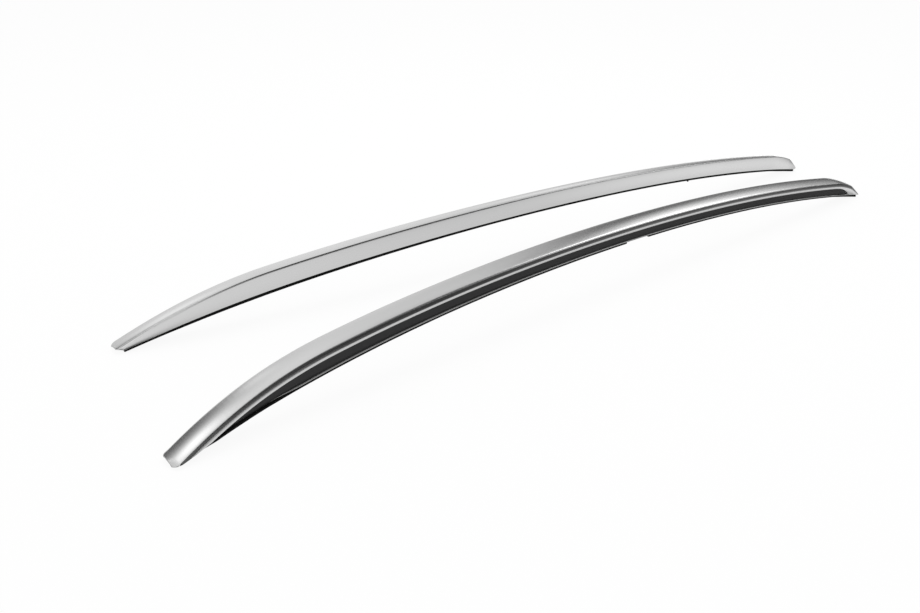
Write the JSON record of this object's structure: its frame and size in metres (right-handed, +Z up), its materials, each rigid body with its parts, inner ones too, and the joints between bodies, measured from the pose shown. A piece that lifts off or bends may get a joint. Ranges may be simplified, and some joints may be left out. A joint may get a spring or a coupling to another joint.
{
  "type": "roof side rail pair",
  "caption": "Mirror-image satin aluminium roof side rails for a car, bent and tapered, with a dark inboard channel, rubber base seals, end pads and threaded fixings.",
  "frame": {"origin": "centre of the pair in plan, at the floor that the end pads stand on", "axes": "+Z up, -X to the front of the rails, +Y to the left-hand rail"},
  "size_m": [1.9249, 0.4358, 0.1219],
  "materials": {
    "satin_aluminium": "satin anodised, fine texture along the rail",
    "channel_black": "matt black, fine grain",
    "seal_rubber": "matt black rubber",
    "pad_rubber": "matt black rubber, firmer than the seal",
    "pin_black": "black coated steel",
    "block_nylon": "dark grey moulded plastic",
    "insert_brass": "turned brass",
    "ring_rubber": "soft black rubber"
  },
  "bodies": {
    "root": {"right_rail": "satin_aluminium", "right_channel_strip": "channel_black", "right_front_seal": "seal_rubber", "right_rear_seal": "seal_rubber", "right_front_pad": "pad_rubber", "right_rear_pad": "pad_rubber", "right_joint_pad": "pad_rubber", "right_locating_pin": "pin_black", "right_fixing_block_1": "block_nylon", "right_fixing_block_2": "block_nylon", "right_fixing_block_3": "block_nylon", "right_fixing_block_4": "block_nylon", "right_fixing_block_5": "block_nylon", "right_fixing_block_6": "block_nylon", "right_threaded_insert_1": "insert_brass", "right_threaded_insert_2": "insert_brass", "right_threaded_insert_3": "insert_brass", "right_threaded_insert_4": "insert_brass", "right_threaded_insert_5": "insert_brass", "right_threaded_insert_6": "insert_brass", "right_seal_ring_1": "ring_rubber", "right_seal_ring_2": "ring_rubber", "right_seal_ring_3": "ring_rubber", "right_seal_ring_4": "ring_rubber", "right_seal_ring_5": "ring_rubber", "right_seal_ring_6": "ring_rubber", "left_rail": "satin_aluminium", "left_channel_strip": "channel_black", "left_front_seal": "seal_rubber", "left_rear_seal": "seal_rubber", "left_front_pad": "pad_rubber", "left_rear_pad": "pad_rubber", "left_joint_pad": "pad_rubber", "left_locating_pin": "pin_black", "left_fixing_block_1": "block_nylon", "left_fixing_block_2": "block_nylon", "left_fixing_block_3": "block_nylon", "left_fixing_block_4": "block_nylon", "left_fixing_block_5": "block_nylon", "left_fixing_block_6": "block_nylon", "left_threaded_insert_1": "insert_brass", "left_threaded_insert_2": "insert_brass", "left_threaded_insert_3": "insert_brass", "left_threaded_insert_4": "insert_brass", "left_threaded_insert_5": "insert_brass", "left_threaded_insert_6": "insert_brass", "left_seal_ring_1": "ring_rubber", "left_seal_ring_2": "ring_rubber", "left_seal_ring_3": "ring_rubber", "left_seal_ring_4": "ring_rubber", "left_seal_ring_5": "ring_rubber", "left_seal_ring_6": "ring_rubber"}
  },
  "joints": []
}
